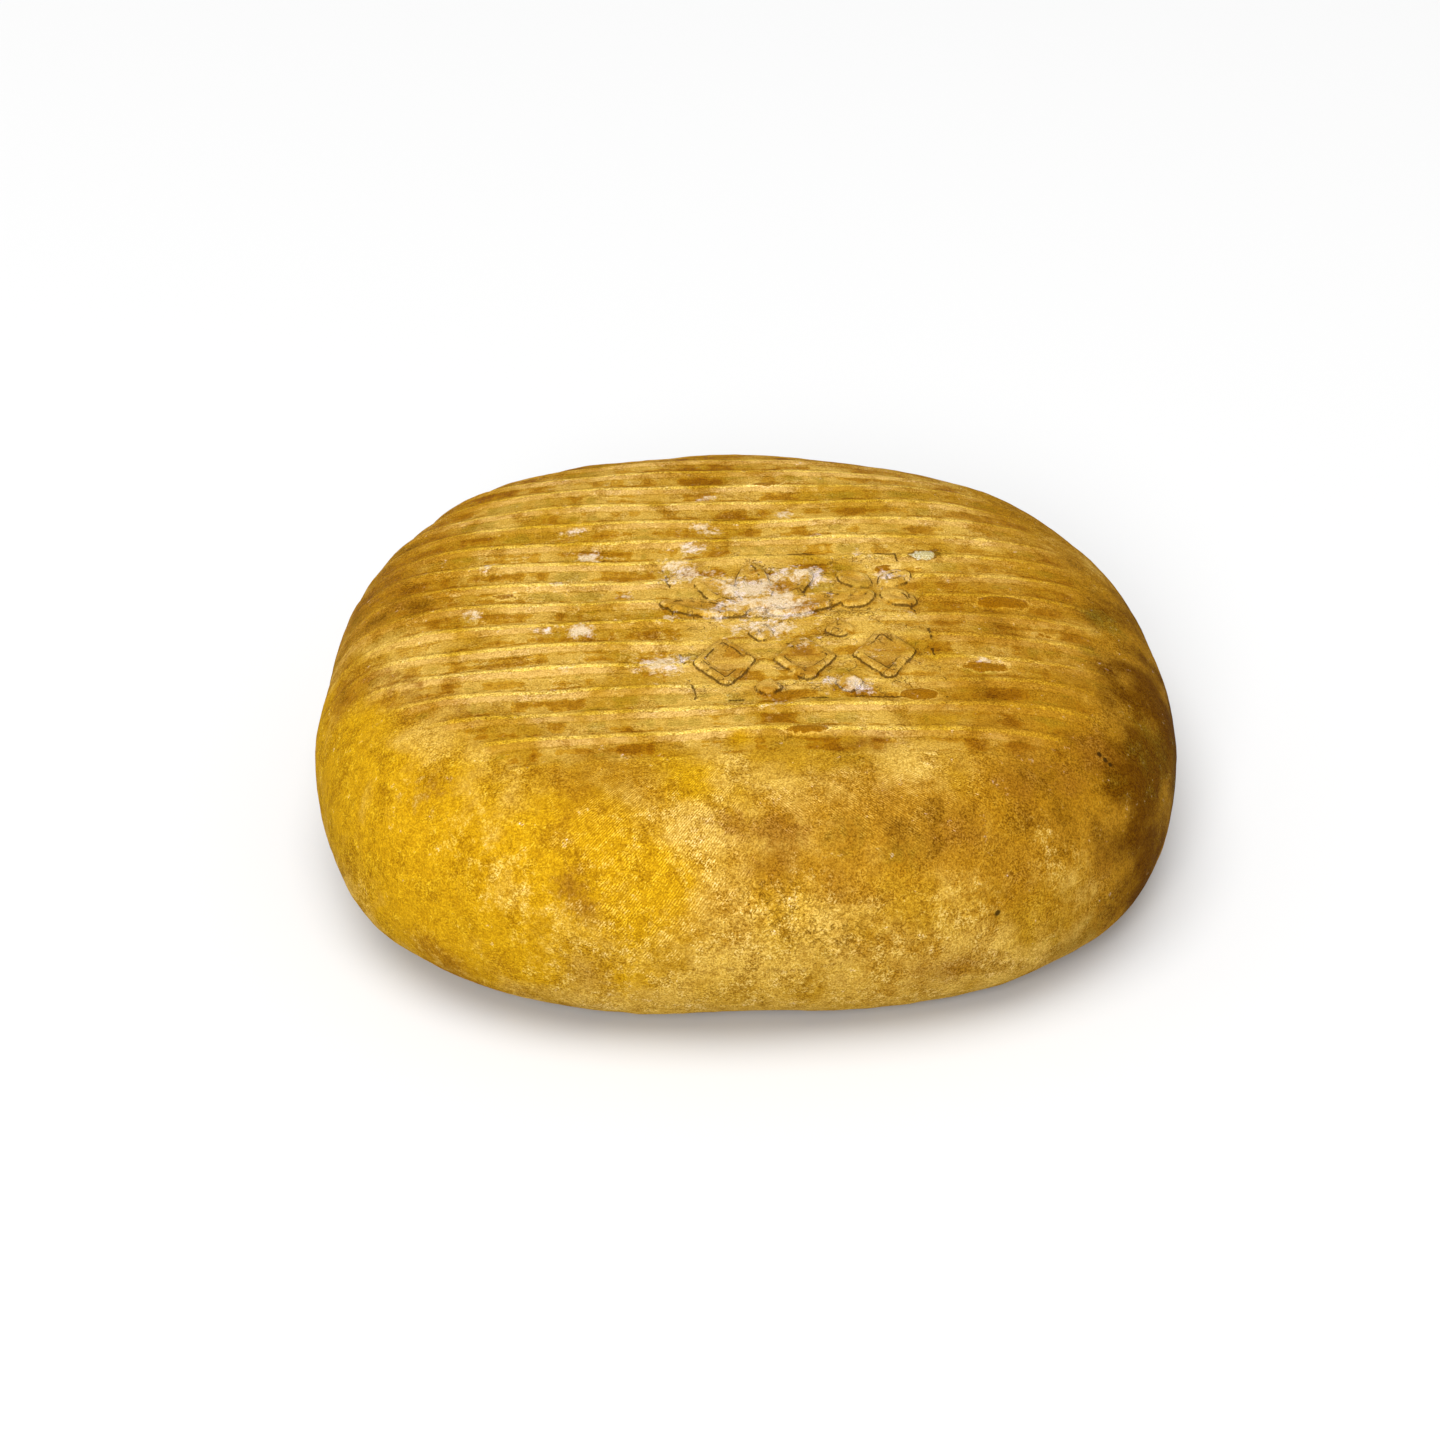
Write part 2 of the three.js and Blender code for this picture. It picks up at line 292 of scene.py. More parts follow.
def select_open_edges():
    bpy.ops.mesh.select_all(action="DESELECT")
    bpy.ops.mesh.select_non_manifold(extend=False, use_wire=False, use_boundary=True, use_multi_face=False,
                                     use_non_contiguous=False, use_verts=False)


def model_blank():
    """A closed box of quads: the crown grid, rings of flank below its edge, and the underside grid.

    A point's height counts the rings below the crown, so that its place on the wheel is known."""
    blank = add_square_grid(CROWN_COLUMNS, CROWN_ROWS, 0)
    bpy.ops.object.mode_set(mode="EDIT")
    bpy.ops.mesh.select_mode(type="EDGE")
    select_open_edges()
    for _ in range(FLANK_RINGS):
        bpy.ops.mesh.extrude_region_move(TRANSFORM_OT_translate={"value": (0, 0, -1)})
    bpy.ops.object.mode_set(mode="OBJECT")
    under = add_square_grid(UNDER_COLUMNS, UNDER_ROWS, -FLANK_RINGS - 1)
    select_only(blank)
    under.select_set(True)
    bpy.ops.object.join()
    bpy.ops.object.mode_set(mode="EDIT")
    select_open_edges()
    bpy.ops.mesh.bridge_edge_loops(type="SINGLE")
    bpy.ops.mesh.select_all(action="SELECT")
    bpy.ops.mesh.normals_make_consistent(inside=False)
    bpy.ops.object.mode_set(mode="OBJECT")
    return blank


def crowded(places, middle, half):
    """Moves even places from -1 to 1 closer together round a middle."""
    fine = np.linspace(-1, 1, 2001)
    density = 1 + (BLOCK_CROWDING - 1) * (1 - smooth(half * 0.9, half * 1.25, np.abs(fine - middle)))
    summed = np.concatenate([[0], np.cumsum((density[1:] + density[:-1]) / 2)])
    return np.interp(places, summed / summed[-1] * 2 - 1, fine)


def plan_places(square, edge):
    """Bends a square grid into the plan's rounded square, straight in the middle."""
    radius = np.maximum(np.abs(square).max(1), 1e-6)
    bearing = np.arctan2(square[:, 1], square[:, 0])
    cos, sin = np.cos(bearing), np.sin(bearing)
    # The middle of the grid is as good as square: past this squareness the outline no longer changes
    squareness = np.minimum(PLAN_SQUARENESS / radius ** 2, 60)
    reach = edge_reach(squareness, cos, sin)
    plan = radius * reach * HALF_WIDTH * edge
    return plan * cos, plan * sin


def flank_shares():
    """The rings' shares of the way out, evenly spaced along the profile from crown to underside."""
    above, below = 400, 800
    step = np.arange(above + below)
    shares = np.concatenate([1 - np.linspace(1 - CROWN_EDGE, 0, above) ** 2 / (1 - CROWN_EDGE),
                             1 - np.linspace(0, 1 - UNDER_EDGE, below) ** 2 / (1 - UNDER_EDGE)])
    is_crown = step < above
    profile, _ = body_points(shares * 0, -shares * HALF_WIDTH, is_crown)
    along = np.concatenate([[0], np.cumsum(np.linalg.norm(np.diff(profile, axis=0), axis=1))])
    stops = np.linspace(0, along[-1], FLANK_RINGS + 2)[1:]
    spread = np.interp(stops, along, step)
    return np.interp(spread, step, shares), spread < above - 0.5


def place_on_wheel(blank):
    """Plan places of the blank's points, and whether each is on the crown's side."""
    mesh = blank.data
    flat = np.empty(len(mesh.vertices) * 3, np.float32)
    mesh.vertices.foreach_get("co", flat)
    flat = flat.reshape(-1, 3).astype(float)
    ring = np.round(-flat[:, 2]).astype(int)
    square = flat[:, :2].copy()
    on_crown = ring <= FLANK_RINGS
    block_x, block_y = BLOCK["x"] / HALF_WIDTH, BLOCK["y"] / HALF_WIDTH
    square[on_crown, 0] = crowded(square[on_crown, 0], block_x, BLOCK["width"] / 2 / HALF_WIDTH)
    square[on_crown, 1] = crowded(square[on_crown, 1], block_y, BLOCK["depth"] / 2 / HALF_WIDTH)
    shares, ring_is_crown = flank_shares()
    edge = np.where(ring == 0, CROWN_EDGE, shares[np.clip(ring - 1, 0, FLANK_RINGS)])
    plan_x, plan_y = plan_places(square, edge)
    is_crown = np.where(ring == 0, True, ring_is_crown[np.clip(ring - 1, 0, FLANK_RINGS)])
    return plan_x, plan_y, is_crown


def set_points(mesh, points):
    mesh.vertices.foreach_set("co", (points * MM).astype(np.float32).ravel())
    mesh.update()


def point_normals(mesh):
    normals = np.empty(len(mesh.vertices) * 3, np.float32)
    mesh.vertex_normals.foreach_get("vector", normals)
    return normals.reshape(-1, 3).astype(float)


def add_attribute(mesh, name, values):
    layer = mesh.attributes.new(name, "FLOAT", "POINT")
    layer.data.foreach_set("value", values.astype(np.float32))


def add_plan_map(mesh, name, across, along, wrap=None):
    """A UV map from two lengths at each point. Where the first wraps round, faces stay whole."""
    corner_point = np.empty(len(mesh.loops), np.int32)
    mesh.loops.foreach_get("vertex_index", corner_point)
    uv = np.stack([across, along], 1)[corner_point] * MM
    if wrap:
        starts = np.empty(len(mesh.polygons), np.int32)
        mesh.polygons.foreach_get("loop_start", starts)
        highest = np.maximum.reduceat(uv[:, 0], starts)
        counts = np.diff(np.append(starts, len(corner_point)))
        uv[:, 0] += np.where(np.repeat(highest, counts) - uv[:, 0] > wrap * MM / 2, wrap * MM, 0)
    layer = mesh.uv_layers.new(name=name)
    layer.data.foreach_set("uv", uv.astype(np.float32).ravel())


# ---------------------------------------------------------------- marks on the rind, in the row frame

# Each spot is x, y, z, radius and strength
# Gold down the left and front: partly the rind's own gold, partly painted light falling from the left
GOLD_AND_LIGHT_SPOTS = [
    (-134, -68, 56, 32, 1.0), (-109, -116, 54, 44, 1.0), (-106, -123, 38, 40, 1.0),
    (-63, -132, 66, 34, 0.95), (-84, -137, 48, 34, 0.95), (-36, -141, 60, 26, 0.8),
    (-141, -30, 44, 32, 0.9), (95, -128, 46, 22, 0.4), (71, -132, 62, 15, 0.4),
    (104, -118, 52, 15, 0.45), (-6, -122, 80, 14, 0.4), (-90, -96, 78, 20, 0.5),
    (-26, -110, 84, 20, 0.65), (-4, -92, 86, 7, 0.55), (-44, -146, 34, 20, 0.6),
    (-118, -92, 66, 26, 0.8),
]
# Umber, mostly on the right flank and the back: partly the rind's own brown, partly painted shade on the
# right flank, which faces away from the light
UMBER_AND_SHADE_SPOTS = [
    (129, -88, 58, 36, 1.15), (142, -40, 52, 44, 1.15), (130, -92, 34, 34, 1.0), (148, 20, 46, 44, 0.9),
    (135, -73, 63, 30, 1.0), (95, -110, 72, 34, 0.6), (66, -128, 70, 24, 0.5), (78, -130, 64, 22, 0.55),
    (50, -127, 74, 18, 0.8), (112, -84, 76, 26, 0.65), (100, -122, 50, 30, 0.3),
    (71, -140, 42, 34, 0.15), (117, -60, 79, 26, 0.7), (127, 11, 76, 28, 0.75), (116, 36, 79, 30, 0.5),
    (106, 70, 77, 34, 0.5), (92, -14, 87, 36, 0.55), (82, -70, 86, 28, 0.6), (110, -104, 26, 30, 0.45),
    (136, 90, 50, 50, 0.7), (0, 132, 70, 52, 0.35), (60, 126, 70, 42, 0.4), (-60, 128, 66, 44, 0.35),
    (-110, 92, 66, 44, 0.45), (-134, 24, 72, 32, 0.65), (-142, 5, 60, 26, 0.5),
    (-124, 52, 74, 30, 0.55), (-138, -34, 70, 15, 0.5), (-104, -60, 83, 16, 0.35),
    (-121, 8, 79, 22, 0.7), (-84, -137, 24, 12, 0.25), (-101, -121, 20, 16, 0.6),
    (-52, -108, 82, 24, 0.4), (-140, -10, 20, 24, 0.4), (-14, -147, 58, 20, 0.3),
    (74, -134, 56, 24, 0.4), (0, -138, 70, 20, 0.3), (13, -128, 78, 20, 0.35), (38, -124, 79, 22, 0.4),
    (26, -132, 73, 20, 0.6), (44, -146, 34, 30, 0.3),
]
OLIVE_SPOTS = [
    (126, -6, 77, 11, 0.9), (118, -30, 79, 8, 0.6), (29, -131, 76, 12, 0.6), (45, -135, 70, 12, 0.6),
    (132, -70, 62, 22, 0.6), (138, -60, 44, 26, 0.5), (-84, -137, 27, 16, 0.3), (120, -92, 70, 12, 0.5),
    (30, -104, 85, 10, 0.5), (8, -98, 85, 8, 0.4), (-46, 92, 84, 12, 0.4), (104, -118, 24, 26, 0.5),
]
STAIN_SPOTS = [
    (-106, -101, 74, 12, 0.7), (-58, -139, 63, 9, 0.75), (-54, -143, 56, 10, 0.7),
    (-46, -145, 47, 10, 0.4), (7, -131, 76, 13, 0.8), (4, -140, 68, 13, 0.75), (-8, -128, 77, 10, 0.7),
    (22, -143, 60, 13, 0.5), (-52, -141, 34, 15, 0.7), (-34, -146, 26, 14, 0.5),
    (-118, -49, 78, 12, 0.8), (-122, 12, 79, 14, 0.6), (-132, 30, 72, 30, 0.6),
    (-125, -38, 76, 12, 0.6), (98, -102, 72, 15, 0.8), (112, -86, 74, 13, 0.7), (62, -128, 72, 14, 0.7),
    (84, -106, 78, 16, 0.7), (36, -96, 86, 14, 0.6), (-96, -70, 82, 14, 0.5), (60, -146, 30, 16, 0.6),
    (20, -149, 24, 20, 0.4), (-20, -131, 78, 8, 0.5), (84, -134, 56, 14, 0.5), (40, -118, 81, 10, 0.5),
    (112, -112, 46, 14, 0.5),
]
PALE_SPOTS = [
    (-31, -126, 79, 12, 0.45), (-19, -141, 68, 14, 0.5), (-22, -142, 60, 14, 0.45),
    (64, -140, 46, 16, 0.8), (-80, -136, 60, 12, 0.8), (-60, -143, 25, 16, 0.9),
    (-62, -139, 46, 16, 0.8), (-6, -147, 22, 34, 1.0), (-26, -145, 16, 26, 1.0),
    (40, -141, 14, 26, 0.8), (-96, -118, 18, 22, 0.5), (30, -148, 30, 24, 0.7), (24, -149, 17, 26, 0.8),
    (-38, -144, 36, 20, 0.7), (98, -122, 57, 9, 0.7), (91, -118, 64, 7, 0.6), (-30, -147, 50, 12, 0.7),
    (0, -148, 50, 16, 0.7), (-110, -100, 72, 10, 0.4), (12, -146, 58, 14, 0.7), (50, -144, 44, 14, 0.5),
    (-93, -118, 70, 15, 0.5), (0, -70, 87, 22, 0.4), (-50, -30, 87, 40, 0.6), (-40, 40, 88, 44, 0.5),
    (-86, 4, 86, 28, 0.55), (-50, -132, 74, 22, 0.35), (-40, -139, 62, 18, 0.35),
    (-100, 30, 82, 16, 0.3), (20, 80, 87, 30, 0.35),
]
MOULD_SPOTS = [
    (-20, 17, 88, 8, 0.8), (-8, 10, 88, 8, 0.6), (2, 2, 89, 9, 0.9), (10, -8, 89, 11, 1.0),
    (12, 10, 90, 9, 0.9), (24, 12, 90, 8, 0.95), (4, -20, 89, 10, 0.85), (-6, -10, 89, 8, 0.65),
    (-30, -46, 87, 6, 0.9), (-24, -42, 87, 5, 0.8), (-57, -21, 86, 4, 0.9), (-54, 32, 86, 4, 0.8),
    (-91, 27, 83, 4, 0.8), (-60, 50, 85, 3.5, 0.7), (41, 31, 90, 5, 0.95), (73, 11, 91, 3.5, 0.9),
    (-18, 36, 88, 5, 0.8), (-24, 24, 88, 5, 0.8), (-42, 2, 87, 4, 0.6), (-70, -20, 85, 4, 0.6),
    (-62, -46, 85, 3, 0.6), (-28, -14, 88, 4, 0.6), (30, 44, 89, 4, 0.6), (36, -62, 88, 5, 0.75),
    (26, -60, 88, 5, 0.7), (8, -72, 86, 3.5, 0.6), (58, -16, 90, 4, 0.6), (-12, 74, 86, 3.5, 0.6),
    (-66, 12, 86, 3.5, 0.5), (16, 60, 88, 3.5, 0.6), (50, 12, 90, 6, 0.6), (-16, 50, 88, 6, 0.6),
    (44, -40, 89, 5, 0.6), (20, -34, 89, 6, 0.6), (80, -46, 87, 3, 0.8), (-96, -6, 84, 4, 0.6),
]
AMBER_SPOTS = [
    (54, 17, 90.5, 5.0, 1.0), (91, -7, 88, 5, 1.0), (80, -50, 86, 4.5, 0.9), (57, -67, 87, 4, 0.9),
    (100, -26, 84, 4, 0.6), (10, 84, 86, 4, 0.6), (18, -88, 85.5, 4, 0.8), (-84, 5, 84, 5, 0.6),
]
FLAKE_SPOTS = [(65, 26, 90.5, 4.5, 1.0), (71, 29, 90.5, 3.5, 1.0)]
CRINKLE_SPOTS = [
    (13, -147, 55, 15, 1.0), (2, -146, 60, 12, 0.9), (26, -147, 47, 13, 0.9), (-4, -134, 73, 12, 0.5),
    (38, -144, 56, 8, 0.5),
]
TWILL_SPOTS = [
    (-44, -126, 76, 26, 0.9), (-25, -138, 70, 24, 1.0), (-38, -144, 56, 22, 0.9),
    (-18, -118, 82, 16, 0.8), (-110, 100, 60, 40, 0.7), (60, 136, 60, 40, 0.7),
]
TWILL_BACK_SPOTS = [
    (33, -119, 81, 17, 0.9), (46, -121, 79, 17, 1.0), (60, -113, 80, 14, 0.8), (10, -124, 78, 14, 0.7),
    (148, 40, 50, 34, 0.6), (-30, 142, 60, 34, 0.7),
]

# Lines across the front, from left to right: x and z of both ends, and the width. A pin hole is x, y, z
# and radius.
# The dark lines are painted shadow, as under a low raised edge: nothing in the mesh is cut or raised there
SHADOW_LINES = [(-26, 38.5, 2, 36.0, 0.9), (0, 36.0, 15, 35.0, 1.1), (13, 35.2, 30, 37.5, 0.7)]
SCRATCHES = [(36, 34.2, 55, 26.5, 0.5), (54, 90, 66, 80, 0.4)]
PIN_HOLES = [
    (76.8, -136.7, 47.2, 1.5), (-38, -12, 87.6, 1.1), (-35.5, -12.5, 87.6, 0.9),
    (-37.5, -23, 87.2, 1.0), (114.5, -86.5, 74.4, 1.3), (116.3, -87.6, 72.9, 1.3),
    (118.0, -88.4, 71.4, 1.0),
]


def shape_rind():
    """The rind as one closed mesh, with the maps and attributes that its material reads."""
    rind = model_blank()
    rind.name = rind.data.name = "washed_rind"
    mesh = rind.data
    plan_x, plan_y, is_crown = place_on_wheel(rind)
    form, share = body_points(plan_x, plan_y, is_crown)
    low, high = form.min(0), form.max(0)
    shift = np.array([-(low[0] + high[0]) / 2, -(low[1] + high[1]) / 2, FOOT_DEPTH])
    body = form + shift
    set_points(mesh, body)
    normals = point_normals(mesh)

    crest_y = plan_y + RIB_WANDER * value_noise(np.stack([plan_x, plan_y * 2, plan_x * 0], 1), 34.0, 3)
    ribbed = np.where(is_crown, crown_rib_share(plan_x, plan_y, form[:, 2]), 0)
    block_edge = block_inside(plan_x, plan_y) + 2.2 * value_noise(body, 17.0, 6)
    block = np.where(is_crown, smooth(-BLOCK_BLEND, BLOCK_BLEND, block_edge), 0)
    worn = mix(RIB_WEAR_LEFT, RIB_WEAR_RIGHT, smooth(-20, 90, plan_x))
    worn *= mix(RIB_WEAR_EDGE, 1, smooth(-140, -105, plan_x))
    worn *= 1 + 0.35 * value_noise(body / (3, 1, 1), 9.0, 5)
    ribs = RIB_HEIGHT * rib_shape(crest_y) * ribbed * mix(1, BLOCK_RIB_SHARE, block) * worn

    figure = np.where(is_crown, figure_distance(plan_x, plan_y), -FIGURE_REACH)
    figure = figure + 0.5 * value_noise(body, 6.0, 7)
    raised = smooth(-1.3, 1.3, figure)
    field = smooth(2.4, 4.4, figure)
    figure_top = FIGURE_HEIGHT * (0.85 - 0.35 * field + 0.25 * value_noise(body, 9.0, 8))
    crown_relief = mix(ribs, figure_top, raised) - FIGURE_GROOVE * np.exp(-(figure + 0.9) ** 2)
    crown_relief -= np.where(is_crown, BLOCK_EDGE_DEPTH * np.exp(-(block_edge / 0.8) ** 2), 0)

    mould = patch(body, MOULD_SPOTS, 0.5, 11, stretch=1.3)
    scab = patch(body, AMBER_SPOTS, 0.5, 12, stretch=2.2)
    crinkle = patch(body, CRINKLE_SPOTS, 0.2, 13)
    flake = patch(body, FLAKE_SPOTS, 0.4, 14, stretch=1.5)
    skin = 0.16 * value_noise(body, 7.0, 21) + 0.09 * value_noise(body, 3.1, 22)
    skin += 0.3 * value_noise(body, 24.0, 23)
    crusts = MOULD_HEIGHT * smooth(0.3, 0.7, mould) + SCAB_HEIGHT * smooth(0.42, 0.6, scab)
    crusts += WRINKLE_HEIGHT * crinkle * value_noise(body, 3.4, 24)
    crusts += FLAKE_HEIGHT * smooth(0.4, 0.55, flake)

    settled = np.where(is_crown, 0, smooth(0.86 * FOOT_DEPTH, 0.995 * FOOT_DEPTH, -form[:, 2]))
    upper = lumps(*form.T) + skin + crusts + np.where(is_crown, crown_relief, 0)
    under = -UNDER_GROOVE_DEPTH * rib_shape(plan_y) - 0.05 * (1 + value_noise(body, 4.0, 25))
    low_down = smooth(0.7, 0.95, -form[:, 2] / FOOT_DEPTH)
    scallops = SCALLOP_DEPTH * (1 - settled) * low_down * value_noise(body, 9.0, 26)
    rise = mix(upper, under, settled) - np.abs(scallops)
    set_points(mesh, body + normals * rise[:, None])

    bearing = np.arctan2(-plan_x, plan_y) + math.pi
    turn = np.linspace(0, 2 * math.pi, 721)
    reach = HALF_WIDTH * edge_reach(PLAN_SQUARENESS, np.sin(turn), np.cos(turn))
    line = np.stack([np.sin(turn) * reach, -np.cos(turn) * reach], 1)
    girth = np.concatenate([[0], np.cumsum(np.linalg.norm(np.diff(line, axis=0), axis=1))])
    around = np.interp(bearing, turn, girth)
    shares = 1 - np.linspace(1, 0, 600) ** 2
    profile, _ = body_points(shares * 0, -shares * HALF_WIDTH, np.ones(600, bool))
    climb = np.cumsum(np.append(0, np.linalg.norm(np.diff(profile[::-1], axis=0), axis=1)))[::-1]
    up = np.where(is_crown, np.interp(share, shares, climb), form[:, 2])

    add_plan_map(mesh, "plan", plan_x + HALF_WIDTH, crest_y + HALF_WIDTH)
    add_plan_map(mesh, "wrap", around, up + 2 * HALF_WIDTH, wrap=girth[-1])
    for name, values in {
        "ribbed": ribbed,
        "block": block,
        "block_edge": np.clip(block_edge, -FIGURE_REACH, FIGURE_REACH),
        "figure": figure,
        "mould": mould,
        "scab": scab,
        "crinkle": crinkle,
        "flake": flake,
        "gold_and_light": patch(body, GOLD_AND_LIGHT_SPOTS, 0.3, 31),
        "umber_and_shade": patch(body, UMBER_AND_SHADE_SPOTS, 0.4, 37),
        "olive": patch(body, OLIVE_SPOTS, 0.4, 32),
        "stain": patch(body, STAIN_SPOTS, 0.5, 33),
        "pale": patch(body, PALE_SPOTS, 0.5, 34),
        "twill": patch(body, TWILL_SPOTS, 0.4, 35),
        "twill_back": patch(body, TWILL_BACK_SPOTS, 0.4, 36),
    }.items():
        add_attribute(mesh, name, values)
    mesh.shade_smooth()
    return rind


# ---------------------------------------------------------------- materials

def colour(hexadecimal):
    """An sRGB hex colour as the linear colour that a socket takes."""
    channels = [int(hexadecimal[i:i + 2], 16) / 255 for i in (1, 3, 5)]
    return (*(c / 12.92 if c <= 0.04045 else ((c + 0.055) / 1.055) ** 2.4 for c in channels), 1.0)


def add_node(tree, kind, inputs=None, **settings):
    """Adds a node, sets it up, and fills or links its inputs."""
    node = tree.nodes.new(kind)
    for name, value in settings.items():
        setattr(node, name, value)
    for name, value in (inputs or {}).items():
        if isinstance(value, bpy.types.NodeSocket):
            tree.links.new(value, node.inputs[name])
        else:
            node.inputs[name].default_value = value
    return node


def new_material(name):
    made = bpy.data.materials.new(name)
    made.use_nodes = True
    made.node_tree.nodes.clear()
    return made, made.node_tree


def cycles_per_metre(size):
    """Noise scale for lumps of a size in millimetres."""
    return 1 / (size * MM)


# The rind's colours under studio light
RIND = {
    "tan": "#c29b41", "ochre": "#a57a18", "gold_and_light": "#b5870c", "umber_and_shade": "#9a6b0f", "deep_umber_and_shade": "#5d3700",
    "olive": "#68520b", "brown_stain": "#85570f", "pale_crust": "#c09734", "trough_olive": "#7e6a12",
    "printed_tan": "#a3772a", "shaded_crevice": "#4a310b", "scab": "#885703", "white_mould": "#d9c4a1",
    "green_chip": "#b8ad7b", "powder": "#d5be82", "pin_hole": "#2f1e04",
}

# Noises in the rind: size in millimetres, detail and roughness
RIND_NOISES = {
    "broad": (30.0, 3.0, 0.6), "blotch": (11.0, 5.0, 0.66), "crazing": (10.0, 3.0, 0.6),
    "mottle": (4.0, 4.0, 0.68), "worms": (3.4, 2.0, 0.55), "grit": (1.7, 3.0, 0.7),
    "crumbs": (0.68, 2.0, 0.8),
}
THREAD_SPACING = 0.85       # millimetres: a little coarser than the cloth's 0.7, so that the threads show
THREAD_TURNS = (33, -45)    # degrees, of its print on the left and the right of the front
WAVE_SCALE = math.pi / 10   # the wave texture's scale that gives one band to a unit of length
PRICK_SPACING = 2.1
BOARD_COLOUR = "#c8c8c8"
LINE_WAVER = 0.008          # metres that a thin line strays for each unit of mottle
RIB_WAVER = 0.003           # the same of the ribs' bands
AMBER_SHIFT = 0.057         # metres from one trough to the next in the amber's noise
CRUMB_HEIGHT = 0.0008       # metres for each unit of the noise
GRIT_HEIGHT = 0.0006
CREVICE_DEPTH = 0.0004


def washed_rind_material():
    """Washed cheese rind: brushed with brine, so granular and barely waxy, golden to tan, with amber
    patches between worn ribs, white mould, and the print of the cheesecloth."""
    made, tree = new_material("washed_cheese_rind")

    def add(kind, inputs=None, **settings):
        return add_node(tree, kind, inputs, **settings).outputs

    def where(*tests):
        """The product of shares. A share is a number, a socket, or a soft step given as a value, where the
        step starts and ends, and what it runs from and to if that isn't 0 and 1."""
        total = None
        for test in tests:
            if isinstance(test, tuple):
                value, start, end, least, most = (*test, 0.0, 1.0)[:5]
                span = {"Value": value, "From Min": start, "From Max": end, "To Min": least, "To Max": most}
                test = add("ShaderNodeMapRange", span, interpolation_type="SMOOTHSTEP")["Result"]
            if total is None:
                total = test
            else:
                total = add("ShaderNodeMath", {0: total, 1: test}, operation="MULTIPLY")["Value"]
        return total

    def strongest(shares):
        """The strongest of several shares at each place."""
        total = shares[0]
        for share in shares[1:]:
            total = add("ShaderNodeMath", {0: total, 1: share}, operation="MAXIMUM")["Value"]
        return total

    def ragged(name, noise, spread):
        """A mark's strength from the mesh, its edge broken up by a noise."""
        mark = add("ShaderNodeAttribute", attribute_name=name)["Fac"]
        return add("ShaderNodeMath", {0: noise, 1: spread, 2: mark}, operation="MULTIPLY_ADD")["Value"]

    def laid(under, layers):
        """Finishes laid over a colour one by one, each with its share. A named colour covers what is under
        it, and three factors for red, green and blue make it brighter or darker."""
        for finish, share in layers:
            if isinstance(finish, str):
                over = colour(RIND[finish])
            else:
                over = add("ShaderNodeVectorMath", {0: under, 1: finish}, operation="MULTIPLY")["Vector"]
            under = add("ShaderNodeMix", {"Factor": share, 6: under, 7: over}, data_type="RGBA")[2]
        return under

    place = add("ShaderNodeTexCoord")["Object"]
    plan = add("ShaderNodeUVMap", uv_map="plan")["UV"]
    wrap = add("ShaderNodeUVMap", uv_map="wrap")["UV"]
    plan_place = add("ShaderNodeSeparateXYZ", {"Vector": plan})
    block = add("ShaderNodeAttribute", attribute_name="block")["Fac"]
    gold_and_light = add("ShaderNodeAttribute", attribute_name="gold_and_light")["Fac"]
    pale = add("ShaderNodeAttribute", attribute_name="pale")["Fac"]

    # Noises that several marks share, each moved to lie round zero
    noise = {}
    for name, (size, detail, roughness) in RIND_NOISES.items():
        raw = add("ShaderNodeTexNoise", {"Vector": place, "Scale": cycles_per_metre(size), "Detail": detail,
                                         "Roughness": roughness})["Fac"]
        noise[name] = add("ShaderNodeMath", {0: raw, 1: 0.5}, operation="SUBTRACT")["Value"]
    blotch, mottle, grit, crumbs = (noise[name] for name in ("blotch", "mottle", "grit", "crumbs"))

    # Broad colour: tan and ochre, gold down the left that is partly painted light, umber on the right that
    # is partly painted shade
    broad = laid(colour(RIND["tan"]), [
        ("ochre", where((noise["broad"], -0.1, 0.12))),
        ("gold_and_light", where((ragged("gold_and_light", blotch, 0.9), 0.2, 0.7))),
        ((0.72, 0.66, 0.5), where((blotch, 0.0, 0.14), 0.7)),
        # Umber and deep umber: partly brown rind, partly painted shade on the right flank
        ("umber_and_shade", where((ragged("umber_and_shade", blotch, 1.0), 0.05, 0.5), 0.9)),
        ("deep_umber_and_shade", where((ragged("umber_and_shade", blotch, 1.0), 0.4, 1.1), 0.95)),
        ("olive", where((ragged("olive", mottle, 1.0), 0.3, 0.9), 0.65)),
        ("brown_stain", where((ragged("stain", mottle, 1.5), 0.3, 0.85), 0.85)),
        ("pale_crust", where((ragged("pale", mottle, 2.2), 0.3, 1.0), 0.55)),
    ])

    # Where a place lies from one rib to the next: the phase is 0 just in front of the trough, and runs
    # over the crest's line at 0.2, the slope at 0.4, the foot at 0.57 and then the next trough
    line_start = (BACK_RIB_Y + HALF_WIDTH + 0.3 * RIB_PITCH) * MM
    wandering = add("ShaderNodeMath", {0: mottle, 1: RIB_WAVER, 2: plan_place["Y"]},
                    operation="MULTIPLY_ADD")["Value"]
    past_line = add("ShaderNodeMath", {0: line_start, 1: wandering}, operation="SUBTRACT")["Value"]
    pitches = add("ShaderNodeMath", {0: past_line, 1: RIB_PITCH * MM}, operation="DIVIDE")["Value"]
    phase = add("ShaderNodeMath", {0: pitches}, operation="FRACT")["Value"]
    rib_number = add("ShaderNodeMath", {0: pitches}, operation="FLOOR")["Value"]
    rib_share = where((ragged("ribbed", blotch, 1.2), 0.2, 0.75),
                      (plan_place["X"], (90 + HALF_WIDTH) * MM, (10 + HALF_WIDTH) * MM, 0.72, 1.0),
                      (plan_place["X"], (-125 + HALF_WIDTH) * MM, (-95 + HALF_WIDTH) * MM, 0.5, 1.0))
    rib_show = where(rib_share, (block, 0.0, 1.0, 1.0, 0.4))
    off_trough = where((phase, 0.03, 0.12), (phase, 0.62, 0.55))
    in_trough = where(rib_share, (off_trough, 1.0, 0.0))

